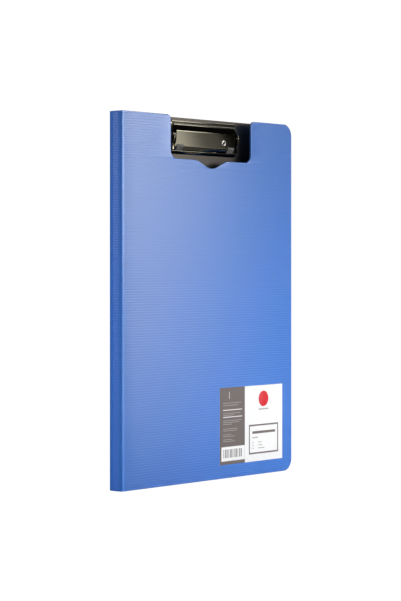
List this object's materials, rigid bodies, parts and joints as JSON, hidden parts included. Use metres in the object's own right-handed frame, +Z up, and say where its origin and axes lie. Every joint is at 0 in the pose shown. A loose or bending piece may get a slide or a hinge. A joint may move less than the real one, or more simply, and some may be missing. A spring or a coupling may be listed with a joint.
{
  "type": "folding clipboard",
  "caption": "Upright A4 folding clipboard: ribbed plastic cover and spine on living hinges, stiff inner board with a low sprung steel clip, notched cover with a label.",
  "frame": {"origin": "middle of the closed folder's base, on the surface it stands on", "axes": "+Z up the spine, +X from the spine to the free edge, +Y from the front cover to the back cover"},
  "size_m": [0.23, 0.014, 0.315],
  "materials": {
    "cover_sheet": "satin foamed polypropylene with fine horizontal ribs",
    "pressed_band": "smooth heat-pressed polypropylene",
    "board": "semi-gloss black sheet",
    "clip_steel": "black nickel plating",
    "pin_steel": "bright drawn steel",
    "grip_rubber": "grey moulded rubber",
    "label_paper": "satin printed label film",
    "pocket_sheet": "clear embossed film"
  },
  "bodies": {
    "back": {"back_cover": "cover_sheet", "writing_board": "board", "clip_base": "clip_steel", "rivet_left": "clip_steel", "rivet_right": "clip_steel", "rivet_cap_left": "clip_steel", "rivet_cap_right": "clip_steel", "pivot_pin": "pin_steel", "spring_left": "pin_steel", "spring_right": "pin_steel"},
    "spine": {"rear_hinge_band": "pressed_band", "spine_panel": "cover_sheet", "front_hinge_band": "pressed_band"},
    "front": {"front_cover": "cover_sheet", "cover_label": "label_paper", "inner_pocket": "pocket_sheet"},
    "press": {"press_plate": "clip_steel", "grip_left": "grip_rubber", "grip_right": "grip_rubber", "plate_eyelet": "pin_steel"}
  },
  "joints": [
    {"name": "spine_fold", "type": "hinge", "parent": "back", "child": "spine", "pos_m": [-0.1147, 0.0067, 0.1575], "axis": [0, 0, -1], "range_deg": [0, 178]},
    {"name": "cover_fold", "type": "hinge", "parent": "spine", "child": "front", "pos_m": [-0.1147, -0.0067, 0.1575], "axis": [0, 0, -1], "range_deg": [0, 178]},
    {"name": "clip_press", "type": "hinge", "parent": "back", "child": "press", "pos_m": [0.0016, 0.0006, 0.2994], "axis": [-1, 0, 0], "range_deg": [0, 12], "stiffness_Nm_per_rad": 0.12, "springref_deg": -57.3}
  ]
}
